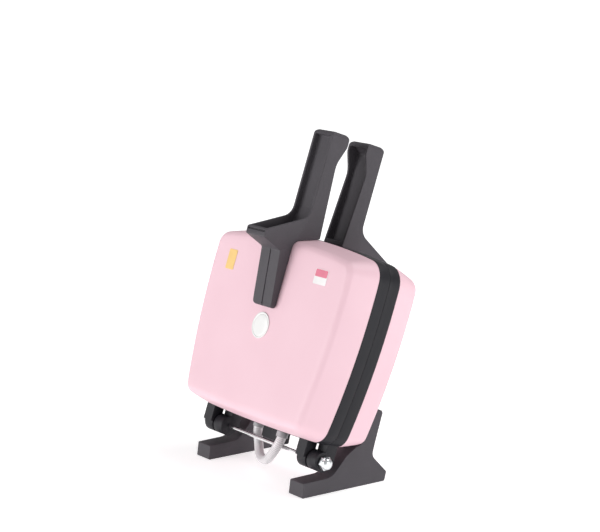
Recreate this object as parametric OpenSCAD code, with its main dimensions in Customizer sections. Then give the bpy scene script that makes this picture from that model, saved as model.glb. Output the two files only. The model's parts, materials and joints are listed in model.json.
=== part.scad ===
// Two-waffle maker that stands upright on its hinge side.
// Each half is drawn in its own frame: x across, z up the body from the hinge rod, and the outside of
// the half towards -y, so y = 0 is the parting plane between the halves.

/* [Stance] */
// Backward lean of the closed halves, degrees
lean = 19.5; // [17:0.5:22]
// Height of the hinge rod above the table
rod_z = 33.75; // [32:0.25:36]
// Distance of the hinge rod in front of the middle of the footprint
rod_ahead = 56.63; // [40:0.01:70]

/* [Halves] */
// Greatest half width of a ring
half_w = 122; // [110:1:130]
// Height of the ring's lower edge above the rod, at the middle
ring_low = 15; // [14:0.5:18]
// Height of the ring's upper edge above the rod, at the middle
ring_high = 210; // [190:1:215]
// Depth of each dark ring
ring_d = 13.3; // [11:0.1:16]
// Wall of the ring
ring_wall = 7; // [5:0.5:9]
// Distance of a cover's outer face from the parting plane
face_n = 45.5; // [40:0.5:50]
// Sheet thickness of a cover
cover_wall = 1.8; // [1.2:0.1:2.5]
// Draft of a cover's sides, degrees
draft = 16; // [8:1:20]
// Radius where a cover's sides meet its face
cover_r = 9; // [6:0.5:10]

/* [Handles] */
// Width of a handle
grip_w = 32; // [26:1:40]
// Flange thickness along each edge of a grip
grip_flange = 3; // [2:0.5:4]
// Height of a grip's top above the rod
grip_top = 318.5; // [300:0.5:325]

/* [Feet] */
// Thickness of a foot across the appliance
foot_w = 22.4; // [16:0.2:26]
// Distance of a foot's middle from the centre
foot_x = 82.1; // [70:0.1:90]

/* [Hinge] */
// Radius of the hinge rod
rod_r = 2; // [1.5:0.5:3]
// Running clearance of the rod in a moving ear
rod_gap = 0.06; // [0.04:0.01:0.1]
// Radius of an ear's rounded end
ear_r = 10; // [8:0.5:12]
// Width of one ear
ear_w = 14; // [10:0.5:16]
// Radius of a domed nut
nut_r = 7.5; // [6:0.5:8]

/* [Cable] */
// Outer radius of the link cable's sleeve
cable_r = 4.8; // [4:0.1:5]

/* [Hidden] */
$fn = 48;

charcoal = [0.24, 0.24, 0.26];
dark = [0.15, 0.15, 0.17];
pink = [0.96, 0.80, 0.85];
steel = [0.75, 0.76, 0.78];
cast = [0.33, 0.33, 0.34];
white = [0.95, 0.95, 0.94];
sleeve = [0.78, 0.77, 0.79];
amber = [0.95, 0.5, 0.15];
film_yellow = [0.96, 0.83, 0.55];
film_rose = [0.88, 0.48, 0.58];

part_gap = 0.15;        // each half stands this far off the parting plane
fit_gap = 0.3;          // clearance between a cover and what wraps over it

// ---- outline of a half: five arcs on the right side, mirrored to the left ----
low_r = 2500;           // bottom edge
side_r = 663;           // bowed side
top_r = 794;            // crowned top edge
low_corner_r = 18;
top_corner_r = 22;
side_mid = 165;         // height where the sides are widest
low_c = [0, ring_low + low_r];
side_c = [half_w - side_r, side_mid];
top_c = [0, ring_high - top_r];

// centre of a fillet of radius r that touches two arcs from the inside, to the right of the line between them
function fillet_c(c1, r1, c2, r2, side) =
  let (d = norm(c2 - c1), e = (c2 - c1) / d)
  let (a = (d * d + r1 * r1 - r2 * r2) / (2 * d), h = sqrt(r1 * r1 - a * a))
  c1 + a * e + side * h * [e[1], -e[0]];
low_fc = fillet_c(low_c, low_r - low_corner_r, side_c, side_r - low_corner_r, -1);
top_fc = fillet_c(side_c, side_r - top_corner_r, top_c, top_r - top_corner_r, -1);
function heading(from, to) = atan2(to[1] - from[1], to[0] - from[0]);
a_low = heading(low_c, low_fc);
a_side0 = heading(side_c, low_fc);
a_side1 = heading(side_c, top_fc);
a_top = heading(top_c, top_fc);

function arc(c, r, from, to, steps) =
  [for (i = [0 : steps]) let (a = from + (to - from) * i / steps) c + r * [cos(a), sin(a)]];
function tail(v) = [for (i = [1 : len(v) - 1]) v[i]];
function right_side(inset) = concat(
  arc(low_c, low_r - inset, -90, a_low, 3),
  tail(arc(low_fc, low_corner_r - inset, a_low, a_side0, 7)),
  tail(arc(side_c, side_r - inset, a_side0, a_side1, 8)),
  tail(arc(top_fc, top_corner_r - inset, a_side1, a_top, 7)),
  tail(arc(top_c, top_r - inset, a_top, 90, 6)));
function mirrored(v) = [for (i = [len(v) - 2 : -1 : 1]) [-v[i][0], v[i][1]]];
function outline(inset) = concat(right_side(inset), mirrored(right_side(inset)));

function unit(v) = v / norm(v);
function wrapped(a) = a > 180 ? a - 360 : a < -180 ? a + 360 : a;
// one corner [across, up, radius] between its neighbours, as an arc tangent to both edges
function corner(before, at, after) =
  let (p = [at[0], at[1]], r = at[2])
  let (ua = unit([before[0], before[1]] - p), ub = unit([after[0], after[1]] - p))
  let (half = acos(ua * ub) / 2, o = p + unit(ua + ub) * r / sin(half), reach = r / tan(half))
  let (a0 = heading(o, p + ua * reach), turn = wrapped(heading(o, p + ub * reach) - a0))
  let (steps = max(2, ceil(abs(turn) / 10)))
  arc(o, r, a0, a0 + turn, steps);
function rounded(c) = [for (i = [0 : len(c) - 1])
  each c[i][2] == 0 ? [[c[i][0], c[i][1]]]
    : corner(c[(i + len(c) - 1) % len(c)], c[i], c[(i + 1) % len(c)])];
function sharp(v) = [for (p = v) [p[0], p[1], 0]];

// prism of a flat (x, z) shape between two distances from the parting plane
module slab(n0, n1) {
  translate([0, -n0, 0])
    rotate([90, 0, 0])
      linear_extrude(n1 - n0)
        children();
}

// prism of a side profile given as (n, u) points, centred across x
module side_slab(width, points) {
  translate([-width / 2, 0, 0])
    rotate([0, 0, 90])
      rotate([90, 0, 0])
        linear_extrude(width)
          polygon([for (p = points) [-p[0], p[1]]]);
}

// round bar along n
module bar(x, u, r, n0, n1) {
  translate([x, -n0, u])
    rotate([90, 0, 0])
      cylinder(r = r, h = n1 - n0);
}

module place_front() {
  translate([0, -rod_ahead, rod_z])
    rotate([-lean, 0, 0])
      children();
}
module place_rear() {
  place_front()
    rotate([0, 0, 180])
      children();
}

// ---- ring with its hinge ears ----
ear_in = 66.5;          // inner face of the ear on the right
ear_out = 83;           // inner face of the ear on the left
ear_depth = 12.5;       // reach of an ear from the parting plane
ear_root = 3;           // how far an ear's arm runs into the ring
module ear(x0) {
  difference() {
    union() {
      translate([x0, 0, 0])
        rotate([0, 90, 0])
          cylinder(r = ear_r, h = ear_w);
      translate([x0, -ear_depth, 0])
        cube([ear_w, ear_depth - part_gap, ring_low + ear_root]);
    }
    translate([x0 - past, 0, 0])
      rotate([0, 90, 0])
        cylinder(r = rod_r + rod_gap, h = ear_w + 2 * past);
  }
}
plate_lip = 3.5;        // the ring overlaps the plate's flange by this much
rebate_d = 3.6;         // depth of the rebate that takes the plate's flange
past = 1;               // how far a cut runs past the face it opens
collar_fit = 0.02;      // clearance of a collar in the ring
module ring(cable_x, gland) {
  union() {
    difference() {
      slab(part_gap, ring_d) polygon(outline(0));
      slab(-past, rebate_d) polygon(outline(ring_wall - plate_lip));
      slab(rebate_d - past, ring_d + past) polygon(outline(ring_wall));
      translate([cable_x, -cable_n, 0])
        cylinder(r = collar_r + collar_fit, h = ring_low + 2 * ring_wall);
      if (gland)
        translate([gland_x, -gland_n, 0])
          cylinder(r = gland_r + collar_fit, h = ring_low + 2 * ring_wall);
    }
    ear(ear_in);
    ear(-ear_out - ear_w);
  }
}

// ---- pressed cover ----
side_n0 = ring_d + 3;   // the rim is straight up to here
function face_inset(r, n1) = (n1 - r - side_n0) * tan(draft) + r / cos(draft);
function profile(shrink) = let (r = cover_r - shrink, n1 = face_n - shrink, s = shrink + 0.4)
  concat([[s, ring_d], [s, side_n0]],
    [for (i = [0 : 5]) let (a = draft + (90 - draft) * i / 5)
      [s + face_inset(r, n1) - r * cos(a), n1 - r + r * sin(a)]]);
function lofted(rings) = [for (p = rings) for (q = outline(p[0])) [q[0], -p[1], q[1]]];
module cover_shell() {
  outer = profile(0);
  inner = profile(cover_wall);
  m = len(outline(0));
  rows = concat(outer, [for (i = [len(inner) - 1 : -1 : 0]) inner[i]]);
  k = len(rows);
  kf = len(outer) - 1;
  walls = [for (j = [0 : k - 1]) if (j != kf) for (i = [0 : m - 1])
    let (a = j * m + i, b = j * m + (i + 1) % m, c = ((j + 1) % k) * m)
      [a, b, c + (i + 1) % m, c + i]];
  cap_out = [for (i = [0 : m - 1]) kf * m + i];
  cap_in = [for (i = [m - 1 : -1 : 0]) (kf + 1) * m + i];
  polyhedron(lofted(rows), concat(walls, [cap_out], [cap_in]), convexity = 6);
}
// handle screws, on the centre line
screw_low_u = 140;
screw_high_u = 178;
screw_r = 1.5;
screw_hole_r = 1.7;
hole_reach = 5;         // a hole through a cover's face starts this far behind it
module lamp_cover() {
  difference() {
    cover();
    bar(0, lamp_u, lamp_bore_r, face_n - hole_reach, face_n + past);
  }
}
foot_screw_us = [42, 52];
module foot_cover() {
  difference() {
    cover();
    for (s = [-1, 1])
      for (u = foot_screw_us)
        bar(s * foot_x, u, screw_hole_r, face_n - hole_reach, face_n + past);
  }
}
module cover() {
  difference() {
    cover_shell();
    for (u = [screw_low_u, screw_high_u])
      bar(0, u, screw_hole_r, face_n - hole_reach, face_n + past);
  }
}

// ---- handle, which wraps over the top of the cover ----
lip_n = 83;             // reach of the lip from the parting plane
grip_out_n = 34.8;      // outer edge of the grip
grip_in_n = 12.5;       // inner edge at the hook
bump_u = 131;           // lower end of the pad on the cover's face
pad_top_u = 188.5;      // upper end of the pad, where the lip starts
pad_low_n = 51.8;       // the pad's outer face at its lower end
pad_high_n = 59.5;      // and at its upper end
channel_d = 6;
function cover_line(gap) = [for (p = profile(-gap)) [p[1], ring_high - p[0]]];
pad_n = face_n + fit_gap;
grip_points = rounded(concat(
  [[14.8, ring_high + 0.6, 0]],
  sharp(tail(cover_line(fit_gap))),
  [[pad_n, bump_u, 0.8], [pad_low_n, bump_u, 2.5], [pad_high_n, pad_top_u, 3], [lip_n, 197, 1.5],
   [lip_n, 205, 1.5],
   [grip_out_n, 228.5, 14], [grip_out_n, grip_top, 5], [grip_in_n, grip_top, 5], [grip_in_n, 306.5, 8],
   [20.2, 287, 24]]));
// outer channel, which runs down into the deep open tray of the lip
outer_channel = rounded([[grip_out_n - channel_d, grip_top - 5, 2], [grip_out_n - channel_d, 238, 6],
  [33, 213, 3], [47, 203.5, 6], [70, 198.5, 4], [lip_n - 2.7, 200.5, 1.5], [lip_n - 2.7, 215, 0],
  [60, grip_top - 5, 0]]);
inner_channel = rounded([[0, 215, 0], [22.5, 215, 2], [25, 262, 40], [25.2, 308, 4], [18, 313, 3],
  [0, 313, 0]]);
grip_corner = 4.5;      // radius of the grip's corners, seen from the front
groove = 0.6;           // width and depth of the mould parting line down the pad
slot_u = 202;           // height of the slot across the lip's end
slot_w = 29;
slot_h = 1.4;
slot_d = 1.8;
module grip() {
  difference() {
    intersection() {
      side_slab(grip_w, grip_points);
      slab(0, lip_n + 1)
        polygon(rounded([[-grip_w / 2, bump_u, grip_corner], [grip_w / 2, bump_u, grip_corner],
          [grip_w / 2, grip_top, grip_corner], [-grip_w / 2, grip_top, grip_corner]]));
    }
    side_slab(groove, [[pad_low_n - groove, bump_u - past], [pad_high_n - groove, pad_top_u],
      [lip_n, pad_top_u], [lip_n, bump_u - past]]);
    translate([-slot_w / 2, -lip_n - past, slot_u])
      cube([slot_w, slot_d + past, slot_h]);
    side_slab(grip_w - 2 * grip_flange, outer_channel);
    side_slab(grip_w - 2 * grip_flange, inner_channel);
    for (u = [screw_low_u, screw_high_u])
      bar(0, u, screw_r, face_n - past, face_n + screw_bite + fit_gap);
  }
}
screw_bite = 4.7;       // how far a handle screw reaches past the cover's face
head_r = 3.6;
head_h = 2.6;
module handle_screws() {
  for (u = [screw_low_u, screw_high_u]) {
    bar(0, u, screw_r, face_n - cover_wall - head_h / 2, face_n + screw_bite);
    bar(0, u, head_r, face_n - cover_wall - head_h, face_n - cover_wall);
  }
}

// ---- cooking plate: flange, two basins and their studs ----
basin_w = 92;
basin_h = 158;
basin_u = 112;          // height of the basins' middle
basin_x = 50.5;         // distance of a basin's middle from the centre
basin_floor = 13;       // depth of a basin's floor from the parting plane
basin_wall = 2.5;
stud_tip = 4.5;         // distance of a stud's tip from the parting plane
stud_w = 12.5;
stud_rows = 6;
stud_pitch_x = 23;
stud_pitch_u = 26;
back_n = basin_floor + basin_wall;
flange_n0 = 0.5;        // the flange's face, from the parting plane
flange_n1 = 3.2;
flange_fit = 0.4;       // clearance of the flange in the ring's rebate
module basins(grow, n0, n1) {
  for (s = [-1, 1])
    translate([s * basin_x - basin_w / 2 - grow, -n1, basin_u - basin_h / 2 - grow])
      cube([basin_w + 2 * grow, n1 - n0, basin_h + 2 * grow]);
}
module waffle_plate() {
  difference() {
    union() {
      slab(flange_n0, flange_n1) polygon(outline(ring_wall - plate_lip + flange_fit));
      basins(basin_wall, flange_n1 - past, back_n);
    }
    difference() {
      basins(0, 0, basin_floor);
      for (s = [-1, 1])
        for (i = [-1.5 : 1.5])
          for (j = [0 : stud_rows - 1])
            translate([s * basin_x + i * stud_pitch_x - stud_w / 2, -basin_floor - past,
                       basin_u + (j - (stud_rows - 1) / 2) * stud_pitch_u - stud_w / 2])
              cube([stud_w, basin_floor + past - stud_tip, stud_w]);
    }
  }
}

// ---- heater, reflector and their screws ----
element_r = 3.5;
element_n = back_n + element_r;
element_x = 78;
element_low = 60;
element_high = 165;
module heating_element() {
  for (s = [-1, 1])
    translate([s * element_x, -element_n, element_low])
      cylinder(r = element_r, h = element_high - element_low);
  for (u = [element_low, element_high])
    translate([-element_x, -element_n, u])
      rotate([0, 90, 0])
        cylinder(r = element_r, h = 2 * element_x);
  for (s = [-1, 1])
    for (u = [element_low, element_high])
      translate([s * element_x, -element_n, u])
        sphere(r = element_r);
}
reflector_n = element_n + element_r + 1.5;
reflector_t = 0.8;
reflector_back = reflector_n + reflector_t;
reflector_inset = 12;
screw_spots = [[-40, 85], [40, 85], [-40, 140], [40, 140]];
plate_screw_r = 1.6;
// posts that hold the cover's face to the plate
post_r = 3;
post_spots = [[-90, 48], [90, 48], [-90, 172], [90, 172]];
module reflector_hole(spot, r) {
  bar(spot[0], spot[1], r, reflector_n - past, reflector_back + past);
}
module reflector() {
  difference() {
    slab(reflector_n, reflector_back) polygon(outline(reflector_inset));
    for (s = screw_spots)
      reflector_hole(s, plate_screw_r + fit_gap);
    for (s = post_spots)
      reflector_hole(s, post_r + fit_gap);
    reflector_hole(thermostat_spot, thermostat_r + thermostat_gap);
  }
}
module plate_screws() {
  for (s = screw_spots) {
    bar(s[0], s[1], plate_screw_r, back_n, reflector_back);
    bar(s[0], s[1], head_r, reflector_back, reflector_back + head_h);
  }
}
module cover_screws() {
  for (s = post_spots)
    bar(s[0], s[1], post_r, back_n, face_n - cover_wall);
}

// ---- controls ----
thermostat_spot = [0, 95];
thermostat_r = 9;
thermostat_gap = 2;     // clearance round it in the reflector
thermostat_n = reflector_n + 4;
thermostat_head = [8, 6, 14];
module thermostat() {
  bar(thermostat_spot[0], thermostat_spot[1], thermostat_r, back_n, thermostat_n);
  translate([-thermostat_head[0] / 2, -thermostat_n - thermostat_head[1],
             thermostat_spot[1] - thermostat_head[2] / 2])
    cube(thermostat_head);
}
fuse_r = 2.5;
fuse_l = 24;
fuse_u = 150;
module thermal_fuse() {
  translate([-fuse_l / 2, -reflector_n - 2 * fuse_r, fuse_u])
    rotate([0, 90, 0])
      cylinder(r = fuse_r, h = fuse_l);
}
block = [28, 10, 12];
block_n = 40;
block_u = 36;
module terminal_block(x) {
  translate([x - block[0] / 2, -block_n, block_u])
    cube(block);
}

// ---- lamp in the middle of the front cover ----
lamp_u = 111.7;
lamp_r = 13.4;
lens_h = 1.2;
lens_neck_r = 9.9;
lens_neck_h = 4;
lamp_bore_r = 10;
holder_r = 12;
holder_h = 8;
neon_r = 3;
neon_h = 3;
neon_n = face_n - holder_h + 0.5;
module lamp_lens() {
  union() {
    bar(0, lamp_u, lamp_r, face_n, face_n + lens_h);
    bar(0, lamp_u, lens_neck_r, face_n - lens_neck_h, face_n);
  }
}
module lamp_holder() {
  difference() {
    bar(0, lamp_u, holder_r, face_n - holder_h, face_n - cover_wall);
    bar(0, lamp_u, lamp_bore_r, face_n - holder_h - past, face_n);
  }
}
module neon_lamp() {
  bar(0, lamp_u, neon_r, neon_n, neon_n + neon_h);
}

// ---- feet, fixed behind the rear cover ----
// side-view place of a point of the rear half
function rear_yz(n, u) = [u * sin(lean) + n * cos(lean), rod_z + u * cos(lean) - n * sin(lean)];
cradle = [for (i = [7 : -1 : 2]) let (p = profile(-fit_gap)[i]) rear_yz(p[1], ring_low + p[0])];
foot_points = rounded(concat(
  [[-22.8, 0, 1.2], [79.4, 0, 2], [81.9, 9.4, 2], [63.6, 28.6, 8], [66.8, 40, 30], [77.8, 74.2, 3.4],
   [63.9, 74.2, 1.2]],
  sharp(cradle),
  [[31.5, 33.4, 0], [13.8, 15.2, 16], [-20.7, 14.6, 1.2]]));
module foot(x) {
  difference() {
    translate([x - foot_w / 2, -rod_ahead, 0])
      rotate([90, 0, 90])
        linear_extrude(foot_w)
          polygon(foot_points);
    foot_screw_bars(x, screw_r, 0, 0);
  }
}
foot_head_r = 3.4;
foot_head_h = 2.2;
foot_screw_sink = 0.2;  // how far a foot screw's shank starts inside its head
foot_screw_reach = 6;   // how far it reaches past the cover's face
module foot_screw_bars(x, r, cap_r, cap_h) {
  place_rear()
    for (u = foot_screw_us) {
      bar(-x, u, r, face_n - cover_wall - foot_screw_sink, face_n + foot_screw_reach);
      if (cap_h > 0)
        bar(-x, u, cap_r, face_n - cover_wall - cap_h, face_n - cover_wall);
    }
}
module foot_screws() {
  for (s = [-1, 1])
    foot_screw_bars(s * foot_x, screw_r, foot_head_r, foot_head_h);
}

// ---- hinge ----
rod_half = 99;
nut_x = 98.3;           // inner face of a nut from the centre
nut_rim = 2;            // straight height below the dome
nut_bore = 0.7;         // the rod's end sits this deep in the nut
washer_x = 97.1;
washer_r = 5.5;
washer_t = 1;
module hinge_rod() {
  translate([-rod_half, -rod_ahead, rod_z])
    rotate([0, 90, 0])
      cylinder(r = rod_r, h = 2 * rod_half);
}
module dome_nut(s) {
  translate([0, -rod_ahead, rod_z])
    rotate([0, s * 90, 0])
      translate([0, 0, nut_x])
        difference() {
          union() {
            cylinder(r = nut_r, h = nut_rim);
            translate([0, 0, nut_rim])
              intersection() {
                sphere(r = nut_r);
                cylinder(r = nut_r + past, h = nut_r + past);
              }
          }
          translate([0, 0, -past])
            cylinder(r = rod_r, h = nut_bore + past);
        }
}

module hinge_washers() {
  for (s = [-1, 1])
    translate([0, -rod_ahead, rod_z])
      rotate([0, s * 90, 0])
        translate([0, 0, washer_x])
          difference() {
            cylinder(r = washer_r, h = washer_t);
            translate([0, 0, -past])
              cylinder(r = rod_r + rod_gap, h = washer_t + 2 * past);
          }
}

// ---- link cable between the halves ----
cable_n = 6.9;          // distance of each end from the parting plane
front_end_x = 32;
rear_end_x = -27;
collar_r = 6;
collar_low = 9.5;
collar_top = ring_low + 3.2; // it runs this far up into the ring
collar_gap = 0.15;      // clearance of the cable in its collar
// centre line, relative to the rod across and in depth, height above the table
route = [
  [32, -0.5, 53], [32, -2.3, 48], [32, -3.7, 44], [31, -6.2, 38.5], [27.5, -8, 32], [21, -8.5, 24.5],
  [13, -7.5, 18.3], [3, -5, 15.2], [-7, -1.5, 15.2], [-16, 3, 18.5], [-22.5, 6.8, 25.5], [-26, 8.3, 33.5],
  [-27, 9.4, 39.5], [-27, 10.8, 43.5], [-27, 12.5, 48.5]];
steps = 4;
sides = 12;
function spline(a, b, c, d, t) = 0.5 * (2 * b + (c - a) * t + (2 * a - 5 * b + 4 * c - d) * t * t
  + (3 * b - a - 3 * c + d) * t * t * t);
last = len(route) - 1;
path = concat([for (i = [0 : last - 1]) for (k = [0 : steps - 1])
  spline(route[max(i - 1, 0)], route[i], route[i + 1], route[min(i + 2, last)], k / steps)], [route[last]]);
function ring_at(i) =
  let (t = unit(path[min(i + 1, len(path) - 1)] - path[max(i - 1, 0)]))
  let (a = unit(cross(t, [0, 1, 0.2])), b = cross(t, a))
  [for (k = [0 : sides - 1]) path[i] + cable_r * (cos(360 * k / sides) * a + sin(360 * k / sides) * b)];
module link_cable() {
  n = len(path);
  points = [for (i = [0 : n - 1]) for (p = ring_at(i)) p];
  walls = [for (i = [0 : n - 2]) for (k = [0 : sides - 1])
    let (a = i * sides + k, b = i * sides + (k + 1) % sides) [b, a, a + sides, b + sides]];
  start = [for (k = [0 : sides - 1]) k];
  end = [for (k = [sides - 1 : -1 : 0]) (n - 1) * sides + k];
  translate([0, -rod_ahead, 0])
    polyhedron(points, concat(walls, [start], [end]), convexity = 4);
}
module cable_collar(x) {
  translate([x, -cable_n, collar_low])
    difference() {
      cylinder(r = collar_r, h = collar_top - collar_low);
      translate([0, 0, -past])
        cylinder(r = cable_r + collar_gap, h = collar_top);
    }
}

// ---- mains inlet under the rear ring ----
gland_bore = 3.7;
gland_x = -14;
gland_n = 7;
gland_r = 5.4;
gland_low = 3;
gland_block = [31, 12, 11.8];
gland_block_x = -20;
gland_block_n = 13;
gland_neck_low = 12;
module mains_gland() {
  difference() {
    union() {
      translate([gland_block_x, -gland_block_n, gland_low])
        cube(gland_block);
      translate([gland_x, -gland_n, gland_neck_low])
        cylinder(r = gland_r, h = collar_top - gland_neck_low);
    }
    translate([gland_x, -gland_n, gland_low - past])
      cylinder(r = gland_bore, h = collar_top);
  }
}

// ---- blank stickers on the front cover ----
film_t = 0.3;
module sticker(x, u, w, h) {
  translate([x, -face_n - film_t, u])
    cube([w, film_t, h]);
}
module yellow_sticker() {
  sticker(-86, 157.5, 14, 21);
}
module two_colour_sticker() {
  sticker(62.5, 166, 20, 15.3);
}

color(charcoal) foot(-foot_x);  // left_foot
color(charcoal) foot(foot_x);  // right_foot
color(steel) foot_screws();
color(steel) hinge_rod();
color(steel) dome_nut(-1);  // left_dome_nut
color(steel) dome_nut(1);  // right_dome_nut
color(steel) hinge_washers();
color(dark) place_rear() ring(-rear_end_x, true);  // rear_frame
color(pink) place_rear() foot_cover();  // rear_cover
color(charcoal) place_rear() grip();  // rear_handle
color(steel) place_rear() handle_screws();  // rear_handle_screws
color(cast) place_rear() waffle_plate();  // rear_plate
color(steel) place_rear() heating_element();  // rear_element
color(steel) place_rear() reflector();  // rear_reflector
color(steel) place_rear() plate_screws();  // rear_plate_screws
color(steel) place_rear() cover_screws();  // rear_cover_screws
color(white) place_rear() thermostat();  // rear_thermostat
color(white) place_rear() thermal_fuse();  // rear_thermal_fuse
color(white) place_rear() terminal_block(0);  // rear_terminal_block
color(dark) place_rear() mains_gland();
color(dark) place_rear() cable_collar(-rear_end_x);  // rear_cable_collar
color(sleeve) link_cable();
color(dark) place_front() ring(front_end_x, false);  // front_frame
color(pink) place_front() lamp_cover();  // front_cover
color(charcoal) place_front() grip();  // front_handle
color(steel) place_front() handle_screws();  // front_handle_screws
color(cast) place_front() waffle_plate();  // front_plate
color(steel) place_front() heating_element();  // front_element
color(steel) place_front() reflector();  // front_reflector
color(steel) place_front() plate_screws();  // front_plate_screws
color(steel) place_front() cover_screws();  // front_cover_screws
color(white) place_front() thermostat();  // front_thermostat
color(white) place_front() terminal_block(30);  // front_terminal_block
color(white) place_front() lamp_lens();
color(dark) place_front() lamp_holder();
color(amber) place_front() neon_lamp();
color(dark) place_front() cable_collar(front_end_x);  // front_cable_collar
color(film_yellow) place_front() yellow_sticker();
color(film_rose) place_front() two_colour_sticker();
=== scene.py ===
# %% [markdown]
# # Two-waffle maker
# The appliance stands upright on its hinge side. Two pink pressed covers sit in dark moulded rings, a
# channelled handle wraps over the top of each, and a rod with domed nuts joins the halves above two
# splayed feet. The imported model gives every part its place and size. Here those parts get soft edges,
# finer shapes and their finishes.

# %% Load the frame
import json
import math

import bmesh
import bpy
from mathutils import Matrix, Vector


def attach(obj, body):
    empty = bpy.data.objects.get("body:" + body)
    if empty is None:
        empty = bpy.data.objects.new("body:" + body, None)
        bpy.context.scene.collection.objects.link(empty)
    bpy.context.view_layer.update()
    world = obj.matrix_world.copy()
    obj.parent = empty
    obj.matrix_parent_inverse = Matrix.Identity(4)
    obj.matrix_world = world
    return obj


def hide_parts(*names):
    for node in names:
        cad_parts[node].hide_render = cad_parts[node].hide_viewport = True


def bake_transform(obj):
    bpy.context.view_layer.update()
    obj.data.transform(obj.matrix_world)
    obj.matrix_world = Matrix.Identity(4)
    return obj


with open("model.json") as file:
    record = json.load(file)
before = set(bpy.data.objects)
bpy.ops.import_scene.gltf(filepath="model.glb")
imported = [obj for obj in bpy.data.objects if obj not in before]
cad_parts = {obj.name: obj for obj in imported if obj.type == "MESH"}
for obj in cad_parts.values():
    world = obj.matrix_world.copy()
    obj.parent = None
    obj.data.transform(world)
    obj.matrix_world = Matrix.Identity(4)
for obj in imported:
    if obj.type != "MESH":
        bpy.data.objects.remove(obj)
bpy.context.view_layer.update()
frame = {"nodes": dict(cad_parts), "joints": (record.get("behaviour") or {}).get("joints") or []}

MM = 0.001

# %% [markdown]
# ## The half frame
# Each half is easiest to think of in its own frame: across, outwards from the parting plane, and up the
# body from the hinge rod. The joint in the record gives the rod's place, and the closed halves lean back
# by one angle. The first function turns such a place into a point of the scene, in metres, and the second
# turns a point back into its place in a half.

# %% Places in a half
hinge = frame["joints"][0]
ROD = Vector(hinge["pos_m"])
LEAN = math.radians(19.5)
UP_BODY = Vector((0, math.sin(LEAN), math.cos(LEAN)))
OUT_FRONT = Vector((0, -math.cos(LEAN), math.sin(LEAN)))
FACE_N = 45.5


def place(x, n, u):
    """Scene point of a place across, out towards the front and up the body, in millimetres."""
    return ROD + MM * (x * Vector((1, 0, 0)) + n * OUT_FRONT + u * UP_BODY)


def place_in_half(point, side):
    """A scene point as across, outwards and up the body, in millimetres; side is 1 in front, -1 behind."""
    from_rod = point - ROD
    return from_rod.x / MM, side * from_rod.dot(OUT_FRONT) / MM, from_rod.dot(UP_BODY) / MM


# turns a piece modelled flat on the ground, facing +Z, to face out of the front half with its top up
FACING_FRONT = Matrix((Vector((1, 0, 0)), UP_BODY, OUT_FRONT)).transposed().to_4x4()
print("rod at, mm:", [round(v / MM, 2) for v in ROD])

# %% [markdown]
# ## Camera
# The camera looks down a little on the front right corner, from about two metres with a long lens, so the
# uprights stay almost parallel. It is placed from the rod, because the rod is the one line that both
# halves share.

# %% Camera
CAM_AZIMUTH = math.radians(53.88)
CAM_RISE = math.radians(11.02)
CAM_DISTANCE = 1.9845
CAM_LENS = 119.4
CAM_SENSOR = 36
AIM_HEIGHT = 0.21392
AIM_ACROSS = 0.03461
cam_back = Vector((math.sin(CAM_AZIMUTH) * math.cos(CAM_RISE),
                   -math.cos(CAM_AZIMUTH) * math.cos(CAM_RISE), math.sin(CAM_RISE)))
cam_right = Vector((math.cos(CAM_AZIMUTH), math.sin(CAM_AZIMUTH), 0))
cam_target = Vector((0, ROD.y, AIM_HEIGHT)) + AIM_ACROSS * cam_right
cam_data = bpy.data.cameras.new("camera")
cam_data.lens = CAM_LENS
cam_data.sensor_width = CAM_SENSOR
camera = bpy.data.objects.new("camera", cam_data)
bpy.context.scene.collection.objects.link(camera)
camera.location = cam_target + CAM_DISTANCE * cam_back
camera.rotation_euler = (-cam_back).to_track_quat("-Z", "Y").to_euler()
bpy.context.scene.camera = camera
print("camera", round(CAM_LENS), "mm lens,", round(CAM_DISTANCE, 2), "m away")

# %% [markdown]
# ## Workbench helpers
# Operators act on whatever is selected, so every step starts by selecting nothing. A part from the packed
# model is never edited itself. A copy of it is taken to the bench, its loose triangles are merged into
# one skin, and flat neighbours are dissolved into single faces, which leaves only the real edges for a
# bevel to find.

# %% Bench helpers
SAME_PLACE = 0.00001
FLAT_ANGLE = math.radians(0.6)
FACING_UP = 0.9


def select_only(*objects):
    """Leaves object mode with exactly these objects selected, the first one active."""
    if bpy.context.object and bpy.context.object.mode != "OBJECT":
        bpy.ops.object.mode_set(mode="OBJECT")
    bpy.ops.object.select_all(action="DESELECT")
    for o in objects:
        o.select_set(True)
    bpy.context.view_layer.objects.active = objects[0]


def bench_copy(node, name, join_flats=True):
    """A merged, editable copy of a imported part, with its flat faces joined up if asked."""
    source = frame["nodes"][node]
    copy = bpy.data.objects.new(name, source.data.copy())
    bpy.context.scene.collection.objects.link(copy)
    copy.data.materials.clear()
    select_only(copy)
    bpy.ops.object.mode_set(mode="EDIT")
    bpy.ops.mesh.select_all(action="SELECT")
    bpy.ops.mesh.remove_doubles(threshold=SAME_PLACE)
    bpy.ops.mesh.customdata_custom_splitnormals_clear()
    if join_flats:
        bpy.ops.mesh.dissolve_limited(angle_limit=FLAT_ANGLE)
    bpy.ops.object.mode_set(mode="OBJECT")
    return copy


def clear_picks():
    """Leaves no point, edge or face of the active piece selected."""
    bpy.ops.object.mode_set(mode="EDIT")
    bpy.ops.mesh.select_all(action="DESELECT")
    bpy.ops.object.mode_set(mode="OBJECT")


def pick_top(piece):
    """Edit mode with only the highest upward faces selected."""
    select_only(piece)
    clear_picks()
    top = max(face.center.z for face in piece.data.polygons)
    for face in piece.data.polygons:
        face.select = face.normal.z > FACING_UP and face.center.z > top - SAME_PLACE
    bpy.ops.object.mode_set(mode="EDIT")
    bpy.ops.mesh.select_mode(type="FACE")


def apply_modifiers(piece):
    select_only(piece)
    for modifier in list(piece.modifiers):
        bpy.ops.object.modifier_apply(modifier=modifier.name)


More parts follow.
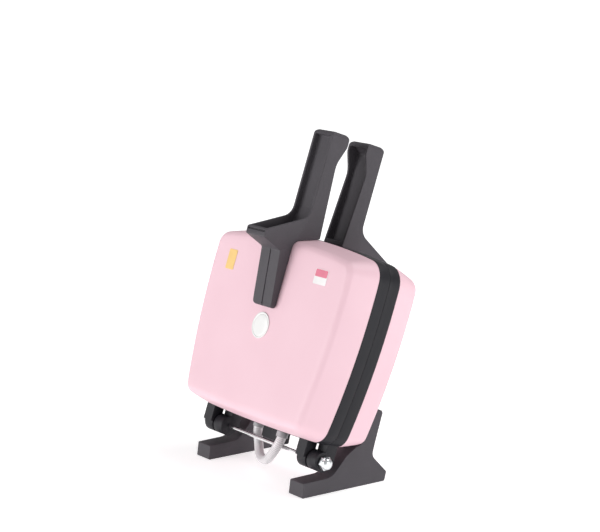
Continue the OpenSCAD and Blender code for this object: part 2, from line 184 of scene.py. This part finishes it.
def edge_radius(piece, width, segments, method):
    """A bevel of the given width in millimetres with round outer corners, still to be applied."""
    bevel = piece.modifiers.new("edge radius", "BEVEL")
    bevel.width = width * MM
    bevel.segments = segments
    bevel.limit_method = method
    bevel.miter_outer = "MITER_ARC"
    return bevel


def soften(piece, width, segments=3, angle=30):
    """Rounds every edge sharper than the angle, as a moulding or casting has them."""
    edge_radius(piece, width, segments, "ANGLE").angle_limit = math.radians(angle)
    apply_modifiers(piece)


def soften_outside(piece, width, crisp, side, segments=3, angle=30):
    """Rounds the sharp edges of a half's part, except where crisp(x, n, u) holds, in millimetres."""
    select_only(piece)
    bpy.ops.object.mode_set(mode="EDIT")
    bpy.ops.mesh.select_mode(type="EDGE")
    bpy.ops.mesh.select_all(action="DESELECT")
    bpy.ops.mesh.edges_select_sharp(sharpness=math.radians(angle))
    bpy.ops.object.mode_set(mode="OBJECT")
    fine = [crisp(*place_in_half(v.co, side)) for v in piece.data.vertices]
    for edge in piece.data.edges:
        edge.select = edge.select and not any(fine[i] for i in edge.vertices)
    bpy.ops.object.mode_set(mode="EDIT")
    bpy.ops.transform.edge_bevelweight(value=1)
    bpy.ops.object.mode_set(mode="OBJECT")
    edge_radius(piece, width, segments, "WEIGHT").use_clamp_overlap = False
    apply_modifiers(piece)


def smooth(piece, angle=40):
    select_only(piece)
    bpy.ops.object.shade_smooth_by_angle(angle=math.radians(angle))


def settle(piece, matrix=None):
    """Puts the piece's place into its mesh, so that its object sits at the origin."""
    select_only(piece)
    if matrix is not None:
        piece.matrix_world = matrix @ piece.matrix_world
    bpy.ops.object.transform_apply(location=True, rotation=True, scale=True)


def stand_in(piece, body, slot, material, *nodes):
    """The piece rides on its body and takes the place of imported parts."""
    piece.data.materials.clear()
    piece.data.materials.append(material)
    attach(piece, body)
    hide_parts(*nodes)
    print(piece.name, len(piece.data.polygons), "faces")


BASE, LID = "base_half", "front_half"

# %% [markdown]
# ## Link cable
# A short sleeved lead carries power from the rear half to the front one. It leaves the front ring, hangs
# in a loop ahead of the hinge rod and goes back up into the rear ring. It is a tube along a smooth curve
# through a few points, built ring by ring so that each ring can carry the map that the braid pattern
# follows.

# %% Cable route
CABLE_ROUTE = [(32, -0.5, 53), (32, -2.3, 48), (32, -3.7, 44), (31, -6.2, 38.5), (27.5, -8, 32),
               (21, -8.5, 24.5), (13, -7.5, 18.3), (3, -5, 15.2), (-7, -1.5, 15.2), (-16, 3, 18.5),
               (-22.5, 6.8, 25.5), (-26, 8.3, 33.5), (-27, 9.4, 39.5), (-27, 10.8, 43.5), (-27, 12.5, 48.5)]
CABLE_R = 4.75
CURVE_STEPS = 8


def through(points, steps):
    """Points of a smooth curve that passes through every given point."""
    made = []
    for i in range(len(points) - 1):
        a, b, c, d = (Vector(points[min(max(i + k, 0), len(points) - 1)]) for k in (-1, 0, 1, 2))
        for k in range(steps):
            t = k / steps
            made.append(0.5 * (2 * b + (c - a) * t + (2 * a - 5 * b + 4 * c - d) * t ** 2
                               + (3 * b - a - 3 * c + d) * t ** 3))
    return made + [Vector(points[-1])]


cable_line = [MM * p + Vector((0, ROD.y, 0)) for p in through(CABLE_ROUTE, CURVE_STEPS)]

# %% Cable tube
CABLE_SIDES = 28


def tube(name, line, radius, sides):
    """A closed tube along a line, mapped in metres along it and in whole turns around it."""
    mesh = bpy.data.meshes.new(name)
    bm = bmesh.new()
    layer = bm.loops.layers.uv.new("along_round")
    side = Vector((0, 1, 0))
    rings, travelled = [], [0.0]
    for i, p in enumerate(line):
        ahead = (line[min(i + 1, len(line) - 1)] - line[max(i - 1, 0)]).normalized()
        side = (side - ahead * side.dot(ahead)).normalized()
        across = ahead.cross(side)
        turn = [2 * math.pi * k / sides for k in range(sides)]
        rings.append([bm.verts.new(p + radius * (math.cos(t) * side + math.sin(t) * across)) for t in turn])
        if i:
            travelled.append(travelled[-1] + (p - line[i - 1]).length)
    for i in range(len(rings) - 1):
        for k in range(sides):
            j = (k + 1) % sides
            face = bm.faces.new((rings[i][k], rings[i][j], rings[i + 1][j], rings[i + 1][k]))
            spots = ((i, k), (i, k + 1), (i + 1, k + 1), (i + 1, k))
            for loop, (row, column) in zip(face.loops, spots):
                loop[layer].uv = (travelled[row], column / sides)
    bm.faces.new(list(reversed(rings[0])))
    bm.faces.new(rings[-1])
    bmesh.ops.recalc_face_normals(bm, faces=bm.faces)
    bm.to_mesh(mesh)
    bm.free()
    made = bpy.data.objects.new(name, mesh)
    bpy.context.scene.collection.objects.link(made)
    smooth(made, 50)
    return made


cable = tube("link_cable_sleeve", cable_line, CABLE_R * MM, CABLE_SIDES)
print("cable tube:", len(cable.data.polygons), "faces")

# %% [markdown]
# ## Finishes
# Each finish is one short function around the Principled shader. Object coordinates are in metres, so a
# noise of scale 900 has grains of about a millimetre. Colour changes only a little from place to place:
# paint, moulded plastic and plated steel are even, and it is the fine bump and the change in gloss that
# make them look real.

# %% Finish helpers
def new_finish(name, colour, rough, metal=0.0):
    material = bpy.data.materials.new(name)
    material.use_nodes = True
    nodes = material.node_tree.nodes
    shader = nodes["Principled BSDF"]
    shader.inputs["Base Color"].default_value = (*colour, 1)
    shader.inputs["Roughness"].default_value = rough
    shader.inputs["Metallic"].default_value = metal
    return material, nodes, material.node_tree.links, shader


def object_noise(nodes, links, scale, detail=3.0, stretch=(1, 1, 1)):
    """Noise on the piece's own coordinates, stretched along its axes if asked."""
    where = nodes.new("ShaderNodeTexCoord")
    mapping = nodes.new("ShaderNodeMapping")
    mapping.inputs["Scale"].default_value = stretch
    noise = nodes.new("ShaderNodeTexNoise")
    noise.inputs["Scale"].default_value = scale
    noise.inputs["Detail"].default_value = detail
    links.new(where.outputs["Object"], mapping.inputs["Vector"])
    links.new(mapping.outputs["Vector"], noise.inputs["Vector"])
    return noise.outputs["Fac"]


def vary_colour(nodes, links, shader, value, dark, light):
    ramp = nodes.new("ShaderNodeValToRGB")
    ramp.color_ramp.elements[0].position = 0.3
    ramp.color_ramp.elements[1].position = 0.7
    ramp.color_ramp.elements[0].color = (*dark, 1)
    ramp.color_ramp.elements[1].color = (*light, 1)
    links.new(value, ramp.inputs["Fac"])
    links.new(ramp.outputs["Color"], shader.inputs["Base Color"])


def vary_roughness(nodes, links, shader, value, low, high):
    spread = nodes.new("ShaderNodeMapRange")
    spread.inputs["To Min"].default_value = low
    spread.inputs["To Max"].default_value = high
    links.new(value, spread.inputs["Value"])
    links.new(spread.outputs["Result"], shader.inputs["Roughness"])


def add_bump(nodes, links, shader, value, strength, depth):
    """Bump of a real depth in metres."""
    bump = nodes.new("ShaderNodeBump")
    bump.inputs["Strength"].default_value = strength
    bump.inputs["Distance"].default_value = depth
    links.new(value, bump.inputs["Height"])
    links.new(bump.outputs["Normal"], shader.inputs["Normal"])


# %% [markdown]
# The covers are pressed steel under stoved pink enamel. Enamel is smooth with a faint orange peel, and a
# thin clear coat gives it a soft second highlight. The base colour drifts by a hair so that the panel
# isn't flat.

# %% Pink enamel
DRIFT_SCALE = 14
PEEL_SCALE = 700
PEEL_DEPTH = 0.00006


def pink_enamel():
    material, nodes, links, shader = new_finish("pink enamel", (0.84, 0.57, 0.64), 0.5)
    drift = object_noise(nodes, links, DRIFT_SCALE, 2)
    vary_colour(nodes, links, shader, drift, (0.825, 0.55, 0.62), (0.85, 0.578, 0.648))
    peel = object_noise(nodes, links, PEEL_SCALE, 2)
    add_bump(nodes, links, shader, peel, 0.12, PEEL_DEPTH)
    shader.inputs["Coat Weight"].default_value = 0.12
    shader.inputs["Coat Roughness"].default_value = 0.4
    return material


# %% [markdown]
# Handles and feet are moulded in charcoal phenolic. The mould is lightly spark-textured, which scatters
# the highlight, and touched edges polish up a little, so the roughness drifts. The rings, lens, films and
# ceramics use the same function with their own numbers.

# %% Moulded plastics
PATCH_SCALE = 45
SPARK_SCALE = 2600
FINE_GRAIN = 0.00001
PATCH_DARK, PATCH_LIGHT = 0.93, 1.06


def moulded(name, colour, low, high, grain=0.00004, specular=0.5):
    material, nodes, links, shader = new_finish(name, colour, low)
    shader.inputs["Specular IOR Level"].default_value = specular
    patch = object_noise(nodes, links, PATCH_SCALE, 4)
    vary_roughness(nodes, links, shader, patch, low, high)
    dark = tuple(c * PATCH_DARK for c in colour)
    light = tuple(c * PATCH_LIGHT for c in colour)
    vary_colour(nodes, links, shader, patch, dark, light)
    texture = object_noise(nodes, links, SPARK_SCALE, 2)
    add_bump(nodes, links, shader, texture, 0.35, grain)
    return material


# %% [markdown]
# Plated steel is a mirror whose gloss changes in fine draw lines. The lines run along X on the rod, so
# its noise is stretched that way, and the rod is drawn too finely for a bump. The nuts and screws have no
# stretch.

# %% Metals
DRAW_DEPTH = 0.00002
GLOSSIER, DULLER = 0.7, 1.5


def plated(name, colour, rough, stretch=(1, 1, 1), lines=900, bump=0.15):
    material, nodes, links, shader = new_finish(name, colour, rough, 1.0)
    draw = object_noise(nodes, links, lines, 3, stretch)
    vary_roughness(nodes, links, shader, draw, rough * GLOSSIER, rough * DULLER)
    if bump:
        add_bump(nodes, links, shader, draw, bump, DRAW_DEPTH)
    return material


# %% [markdown]
# The lead wears a braided sleeve. Two families of threads wind round it in opposite directions. Each
# family is a sine of the map, one leaning each way, and their product gives the weave its colour and its
# height.

# %% Braided sleeve
THREADS_ROUND = 16
THREAD_PITCH = 0.0034
THREAD_DEPTH = 0.00025


def braided_sleeve():
    material, nodes, links, shader = new_finish("braided sleeve", (0.62, 0.6, 0.62), 0.3)
    uv = nodes.new("ShaderNodeUVMap")
    uv.uv_map = "along_round"
    split = nodes.new("ShaderNodeSeparateXYZ")
    links.new(uv.outputs["UV"], split.inputs["Vector"])

    def maths(kind, a, b=None):
        step = nodes.new("ShaderNodeMath")
        step.operation = kind
        for socket, value in zip(step.inputs, (a, b)):
            if value is None:
                continue
            if isinstance(value, (int, float)):
                socket.default_value = value
            else:
                links.new(value, socket)
        return step.outputs[0]

    along = maths("MULTIPLY", split.outputs["X"], 2 * math.pi / THREAD_PITCH)
    around = maths("MULTIPLY", split.outputs["Y"], 2 * math.pi * THREADS_ROUND)
    one_way = maths("SINE", maths("ADD", along, around))
    other_way = maths("SINE", maths("SUBTRACT", along, around))
    weave = maths("MULTIPLY", one_way, other_way)
    height = maths("ADD", maths("MULTIPLY", weave, 0.5), 0.5)
    vary_colour(nodes, links, shader, height, (0.52, 0.5, 0.515), (0.82, 0.8, 0.815))
    add_bump(nodes, links, shader, height, 0.4, THREAD_DEPTH)
    shader.inputs["Coat Weight"].default_value = 0.3
    shader.inputs["Coat Roughness"].default_value = 0.2
    return material


# %% Make the finishes
ENAMEL = pink_enamel()
CHARCOAL = moulded("charcoal phenolic", (0.066, 0.06, 0.069), 0.52, 0.64, specular=0.32)
RING_BLACK = moulded("ring black", (0.014, 0.0135, 0.0175), 0.46, 0.56, specular=0.28)
COLLAR_GREY = moulded("collar grey", (0.36, 0.35, 0.365), 0.4, 0.5)
CHROME = plated("drawn rod", (0.88, 0.88, 0.89), 0.16, (0.03, 1, 1), 1500, 0.0)
ZINC = plated("bright zinc", (0.84, 0.86, 0.88), 0.3, bump=0.05)
SCREW_STEEL = plated("screw steel", (0.62, 0.62, 0.6), 0.3)
SLEEVE = braided_sleeve()
LENS_WHITE = moulded("lens white", (0.86, 0.86, 0.85), 0.2, 0.28, FINE_GRAIN)
NON_STICK = moulded("non-stick coating", (0.035, 0.035, 0.037), 0.42, 0.6, 0.00006)
HEATER_STEEL = plated("heat-darkened steel", (0.34, 0.32, 0.3), 0.4)
FOIL = plated("rolled aluminium", (0.8, 0.8, 0.8), 0.25, (1, 0.05, 0.05))
CERAMIC = moulded("glazed ceramic", (0.82, 0.8, 0.75), 0.25, 0.35, 0.00002)
NEON = moulded("neon glass", (0.9, 0.3, 0.08), 0.1, 0.15, FINE_GRAIN)
print(len(bpy.data.materials), "finishes")

# %% Dress the cable
cable.data.materials.append(SLEEVE)
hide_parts("link_cable")
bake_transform(cable)

# %% [markdown]
# ## Pink covers
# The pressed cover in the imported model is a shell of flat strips. A press die is smooth, so subdivision
# rounds the copy, and a crease keeps the rim crisp. Holes in a flat face would pucker it, and every hole
# here is hidden by the handle, a foot or the lens, so their corner points go first and the face is closed
# again in one piece. A narrow inset inside the face's edge keeps the rest of the face dead flat.

# %% Covers
RIM_ANGLE = 50
HOLE_ZONE_X = 86
HOLE_ZONE_U = (38, 184)
HOLE_ZONE_DEPTH = 3
FACE_SUPPORT = 2
NEAR_BIGGEST = 0.8


def cover(node, name, body, side):
    pressing = bench_copy(node, name)
    clear_picks()
    for v in pressing.data.vertices:
        x, n, u = place_in_half(v.co, side)
        on_face = n > FACE_N - HOLE_ZONE_DEPTH
        v.select = on_face and abs(x) < HOLE_ZONE_X and HOLE_ZONE_U[0] < u < HOLE_ZONE_U[1]
    print(name, sum(v.select for v in pressing.data.vertices), "hole points")
    select_only(pressing)
    bpy.ops.object.mode_set(mode="EDIT")
    bpy.ops.mesh.select_mode(type="VERT")
    bpy.ops.mesh.delete(type="VERT")
    bpy.ops.mesh.select_all(action="SELECT")
    bpy.ops.mesh.fill_holes(sides=0)
    bpy.ops.object.mode_set(mode="OBJECT")
    biggest = max(face.area for face in pressing.data.polygons)
    for face in pressing.data.polygons:
        face.select = face.area > NEAR_BIGGEST * biggest
    bpy.ops.object.mode_set(mode="EDIT")
    bpy.ops.mesh.select_mode(type="FACE")
    bpy.ops.mesh.inset(thickness=FACE_SUPPORT * MM)
    bpy.ops.mesh.select_mode(type="EDGE")
    bpy.ops.mesh.select_all(action="DESELECT")
    bpy.ops.mesh.edges_select_sharp(sharpness=math.radians(RIM_ANGLE))
    bpy.ops.transform.edge_crease(value=1)
    bpy.ops.object.mode_set(mode="OBJECT")
    rounder = pressing.modifiers.new("press radius", "SUBSURF")
    rounder.levels = rounder.render_levels = 2
    apply_modifiers(pressing)
    smooth(pressing, RIM_ANGLE)
    stand_in(pressing, body, "pink_enamel", ENAMEL, node)


cover("front_cover", "front_cover_pressing", LID, 1)
cover("rear_cover", "rear_cover_pressing", BASE, -1)

# %% [markdown]
# ## Mouldings
# Rings, handles, feet and the inlet block come out of moulds, and a mould can't make a knife edge. Each
# copy gets a small radius on every edge. On a handle the pad's parting line, the slot in the lip and the
# screw holes are left crisp. A plate's basin floor is one flat face round two dozen studs, too pierced to
# join up, so the plates keep their triangles.

# %% Rounded mouldings
def moulding(node, body, slot, material, radius, segments=3, angle=30, join_flats=True):
    piece = bench_copy(node, node + "_moulding", join_flats)
    soften(piece, radius, segments, angle)
    smooth(piece)
    stand_in(piece, body, slot, material, node)


GROOVE_X = 0.7
LIP_SLOT_N = 79
LIP_SLOT_U = (201, 204.4)
SCREW_HOLE_X = 2
SCREW_HOLE_N = 51
SCREW_HOLE_U = 185
HANDLE_EDGE = 0.7


def handle_detail(x, n, u):
    """The pad's parting line, the slot in the lip and the screw holes stay crisp."""
    in_groove = abs(x) < GROOVE_X
    in_slot = n > LIP_SLOT_N and LIP_SLOT_U[0] < u < LIP_SLOT_U[1]
    in_screw_hole = abs(x) < SCREW_HOLE_X and n < SCREW_HOLE_N and u < SCREW_HOLE_U
    return in_groove or in_slot or in_screw_hole


def handle(node, body, side):
    piece = bench_copy(node, node + "_moulding")
    soften_outside(piece, HANDLE_EDGE, handle_detail, side)
    smooth(piece)
    stand_in(piece, body, "handle_plastic", CHARCOAL, node)


handle("front_handle", LID, 1)
handle("rear_handle", BASE, -1)
moulding("left_foot", BASE, "foot_plastic", CHARCOAL, 1.2)
moulding("right_foot", BASE, "foot_plastic", CHARCOAL, 1.2)
moulding("front_frame", LID, "ring_plastic", RING_BLACK, 0.5, 2, 40)
moulding("rear_frame", BASE, "ring_plastic", RING_BLACK, 0.5, 2, 40)
moulding("mains_gland", BASE, "ring_plastic", RING_BLACK, 0.5, 2)
moulding("front_plate", LID, "plate_coating", NON_STICK, 0.6, 2, join_flats=False)
moulding("rear_plate", BASE, "plate_coating", NON_STICK, 0.6, 2, join_flats=False)

# %% [markdown]
# ## Domed nuts
# A domed nut closes each end of the rod. It is a hexagon with its corners turned off, and a polished cap
# over the thread. A six-sided cylinder gives the hexagon, a raised inset gives the shoulder, and half a
# ball, scaled a little flatter, gives the cap. It is modelled once along X, and its twin is the same nut
# turned round.

# %% Domed nuts
NUT_R = 7.4
NUT_FLAT = 4.6
NUT_START = 98.3
SHOULDER_INSET = 0.9
SHOULDER_RISE = 0.5
CAP_R = 6.1
CAP_SQUASH = 0.76
CAP_CUT = 0.4 * NUT_FLAT


def domed_nut(name, side, node):
    bpy.ops.object.select_all(action="DESELECT")
    bpy.ops.mesh.primitive_cylinder_add(vertices=6, radius=NUT_R * MM, depth=NUT_FLAT * MM)
    nut = bpy.context.object
    nut.name = name
    pick_top(nut)
    bpy.ops.mesh.inset(thickness=SHOULDER_INSET * MM, depth=SHOULDER_RISE * MM)
    bpy.ops.object.mode_set(mode="OBJECT")
    soften(nut, 0.7, 3, 20)
    smooth(nut, 30)
    bpy.ops.object.select_all(action="DESELECT")
    bpy.ops.mesh.primitive_uv_sphere_add(segments=40, ring_count=24, radius=CAP_R * MM,
                                         location=(0, 0, NUT_FLAT / 2 * MM))
    cap = bpy.context.object
    cap.scale = (1, 1, CAP_SQUASH)
    bpy.ops.object.transform_apply(location=True, rotation=True, scale=True)
    bpy.ops.object.mode_set(mode="EDIT")
    bpy.ops.mesh.select_all(action="SELECT")
    bpy.ops.mesh.bisect(plane_co=(0, 0, CAP_CUT * MM), plane_no=(0, 0, 1),
                        use_fill=True, clear_inner=True)
    bpy.ops.object.mode_set(mode="OBJECT")
    smooth(cap)
    select_only(nut, cap)
    bpy.ops.object.join()
    out = Matrix.Translation(ROD + Vector((side * (NUT_START + NUT_FLAT / 2) * MM, 0, 0)))
    settle(nut, out @ Matrix.Rotation(side * math.pi / 2, 4, "Y"))
    stand_in(nut, BASE, "nut_zinc", ZINC, node)


domed_nut("right_domed_nut", 1, "right_dome_nut")
domed_nut("left_domed_nut", -1, "left_dome_nut")

# %% [markdown]
# ## Cable collars
# The sleeve enters each ring through a grey collar, moulded with ribs so that it bends with the lead. The
# packed collar is softened, and ribs are added along it. They are rings around the collar's own axis, and
# each collar is where its end of the cable is.

# %% Cable collars
COLLAR_N = 6.9
RIB_HEIGHTS = (10.3, 12.0, 13.7)
RIB_R = 5.5
RIB_THICK = 0.5


def collar(node, body, x, side):
    piece = bench_copy(node, node + "_ribbed")
    soften(piece, 0.4, 2)
    smooth(piece)
    ribs = []
    for height in RIB_HEIGHTS:
        bpy.ops.object.select_all(action="DESELECT")
        bpy.ops.mesh.primitive_torus_add(major_radius=RIB_R * MM, minor_radius=RIB_THICK * MM,
                                         major_segments=48, minor_segments=10,
                                         location=place(x, side * COLLAR_N, height), rotation=(-LEAN, 0, 0))
        ribs.append(bpy.context.object)
        smooth(ribs[-1], 60)
    select_only(piece, *ribs)
    bpy.ops.object.join()
    settle(piece)
    stand_in(piece, body, "collar_plastic", COLLAR_GREY, node)


collar("front_cable_collar", LID, CABLE_ROUTE[0][0], 1)
collar("rear_cable_collar", BASE, CABLE_ROUTE[-1][0], -1)

# %% [markdown]
# ## Lamp lens and stickers
# A white lens covers the heating lamp in the middle of the face. It has a raised rim, a fine groove and a
# slightly raised centre, cut by insets and short extrusions of the top of a disc. The stickers are blank:
# a small film with rounded corners, and the second one has a red panel printed over its upper half.

# %% Lamp lens
LENS_R = 13.4
LENS_U = 111.7
LENS_H = 1.0
LENS_STEPS = ((1.2, 0.0), (0.3, -0.5), (0.4, 0.0), (0.3, 0.45), (3.0, 0.12), (4.0, 0.06))


def on_front(piece, x, n, u):
    settle(piece, Matrix.Translation(place(x, n, u)) @ FACING_FRONT)


bpy.ops.object.select_all(action="DESELECT")
bpy.ops.mesh.primitive_cylinder_add(vertices=72, radius=LENS_R * MM, depth=LENS_H * MM,
                                    location=(0, 0, LENS_H / 2 * MM))
lens = bpy.context.object
lens.name = "lamp_lens_disc"
bpy.ops.object.transform_apply(location=True, rotation=False, scale=False)
pick_top(lens)
for inset, rise in LENS_STEPS:
    bpy.ops.mesh.inset(thickness=inset * MM, depth=rise * MM)
bpy.ops.object.mode_set(mode="OBJECT")
soften(lens, 0.12, 2, 25)
smooth(lens, 30)
on_front(lens, 0, FACE_N, LENS_U)
stand_in(lens, LID, "lens_white", LENS_WHITE, "lamp_lens")


# %% Stickers
ON_FACE = FACE_N + 0.03
ON_FILM = FACE_N + 0.2


def film(name, size, corner, middle, slot, finish, *nodes):
    """A film of width, height and thickness with round corners, its middle at a place on the front half."""
    width, height, thick = size
    bpy.ops.object.select_all(action="DESELECT")
    bpy.ops.mesh.primitive_plane_add(size=1)
    sheet = bpy.context.object
    sheet.name = name
    sheet.scale = (width * MM, height * MM, 1)
    bpy.ops.object.transform_apply(location=False, rotation=False, scale=True)
    bpy.ops.object.mode_set(mode="EDIT")
    bpy.ops.mesh.select_all(action="SELECT")
    bpy.ops.mesh.bevel(offset=corner * MM, segments=6, affect="VERTICES")
    bpy.ops.mesh.select_all(action="SELECT")
    bpy.ops.mesh.extrude_region_move(TRANSFORM_OT_translate={"value": (0, 0, thick * MM)})
    bpy.ops.mesh.select_all(action="SELECT")
    bpy.ops.mesh.normals_make_consistent(inside=False)
    bpy.ops.object.mode_set(mode="OBJECT")
    smooth(sheet, 30)
    on_front(sheet, *middle)
    stand_in(sheet, LID, slot, finish, *nodes)


YELLOW = moulded("yellow film", (0.9, 0.6, 0.22), 0.3, 0.36, FINE_GRAIN)
ROSE = moulded("rose film", (0.74, 0.2, 0.29), 0.3, 0.36, FINE_GRAIN)
PAPER = moulded("white film", (0.88, 0.86, 0.86), 0.3, 0.36, FINE_GRAIN)
film("yellow_film", (14, 21, 0.22), 1.2, (-79, ON_FACE, 168), "sticker_yellow", YELLOW, "yellow_sticker")
film("white_film", (20, 15.3, 0.16), 1.0, (72.5, ON_FACE, 173.65), "sticker_red", PAPER,
     "two_colour_sticker")
film("rose_panel", (19, 7.4, 0.08), 0.8, (72.5, ON_FILM, 177.2), "sticker_red", ROSE)

# %% Finishes for the other parts
PLAIN_NODES = {
    CHROME: ["hinge_rod"],
    ZINC: ["hinge_washers"],
    SCREW_STEEL: ["foot_screws", "rear_handle_screws", "front_handle_screws", "rear_plate_screws",
                  "front_plate_screws", "rear_cover_screws", "front_cover_screws"],
    HEATER_STEEL: ["rear_element", "front_element"],
    FOIL: ["rear_reflector", "front_reflector"],
    CERAMIC: ["rear_thermostat", "front_thermostat", "rear_thermal_fuse", "rear_terminal_block",
              "front_terminal_block"],
    RING_BLACK: ["lamp_holder"],
    NEON: ["neon_lamp"],
}
for finish, names in PLAIN_NODES.items():
    for name in names:
        part = frame["nodes"][name]
        part.data.materials.clear()
        part.data.materials.append(finish)
print(sum(len(names) for names in PLAIN_NODES.values()), "packed parts keep their shape")

# %% [markdown]
# ## Floor and light
# The floor is plain and pale, and it glows more with distance so that it ends in clean white. A white
# surround lights everything softly. A low panel ahead on the left gives the front its brightness. Another
# stands to the right and a little behind, which lights the sides and leaves what the body hides in shade.
# A third is overhead and behind.

# %% Floor and light
FLOOR_SIZE = 60
GLOW_REACH = (0.3, 1.6)
GLOW_STRENGTH = (0.56, 0.78)
LIT_POINT = Vector((0, 0, 0.15))
SURROUND = 0.36

bpy.ops.object.select_all(action="DESELECT")
bpy.ops.mesh.primitive_plane_add(size=FLOOR_SIZE, location=(0, 0, 0))
floor = bpy.context.object
floor.name = "floor"
floor_finish, floor_nodes, floor_links, floor_shader = new_finish("floor white", (0.85, 0.85, 0.85), 0.7)
floor_shader.inputs["Emission Color"].default_value = (1, 1, 1, 1)
glow = floor_nodes.new("ShaderNodeMapRange")
glow.inputs["From Min"].default_value, glow.inputs["From Max"].default_value = GLOW_REACH
glow.inputs["To Min"].default_value, glow.inputs["To Max"].default_value = GLOW_STRENGTH
spot = floor_nodes.new("ShaderNodeTexCoord")
reach = floor_nodes.new("ShaderNodeVectorMath")
reach.operation = "LENGTH"
floor_links.new(spot.outputs["Object"], reach.inputs[0])
floor_links.new(reach.outputs["Value"], glow.inputs["Value"])
floor_links.new(glow.outputs["Result"], floor_shader.inputs["Emission Strength"])
floor.data.materials.append(floor_finish)


def panel(name, where, size, power):
    light = bpy.data.lights.new(name, "AREA")
    light.shape = "RECTANGLE"
    light.size, light.size_y = size
    light.energy = power
    lamp = bpy.data.objects.new(name, light)
    bpy.context.scene.collection.objects.link(lamp)
    lamp.location = where
    lamp.rotation_euler = (LIT_POINT - Vector(where)).to_track_quat("-Z", "Y").to_euler()


panel("front panel", (-0.9, -2.2, 0.5), (1.8, 0.9), 29)
panel("side panel", (2.4, 0.6, 0.5), (1.0, 0.9), 17)
panel("top panel", (0.5, 1.0, 2.2), (1.2, 1.2), 21)
world = bpy.data.worlds.new("studio")
world.use_nodes = True
world.node_tree.nodes["Background"].inputs["Color"].default_value = (1, 1, 1, 1)
world.node_tree.nodes["Background"].inputs["Strength"].default_value = SURROUND
bpy.context.scene.world = world
bpy.context.scene.view_settings.view_transform = "Standard"
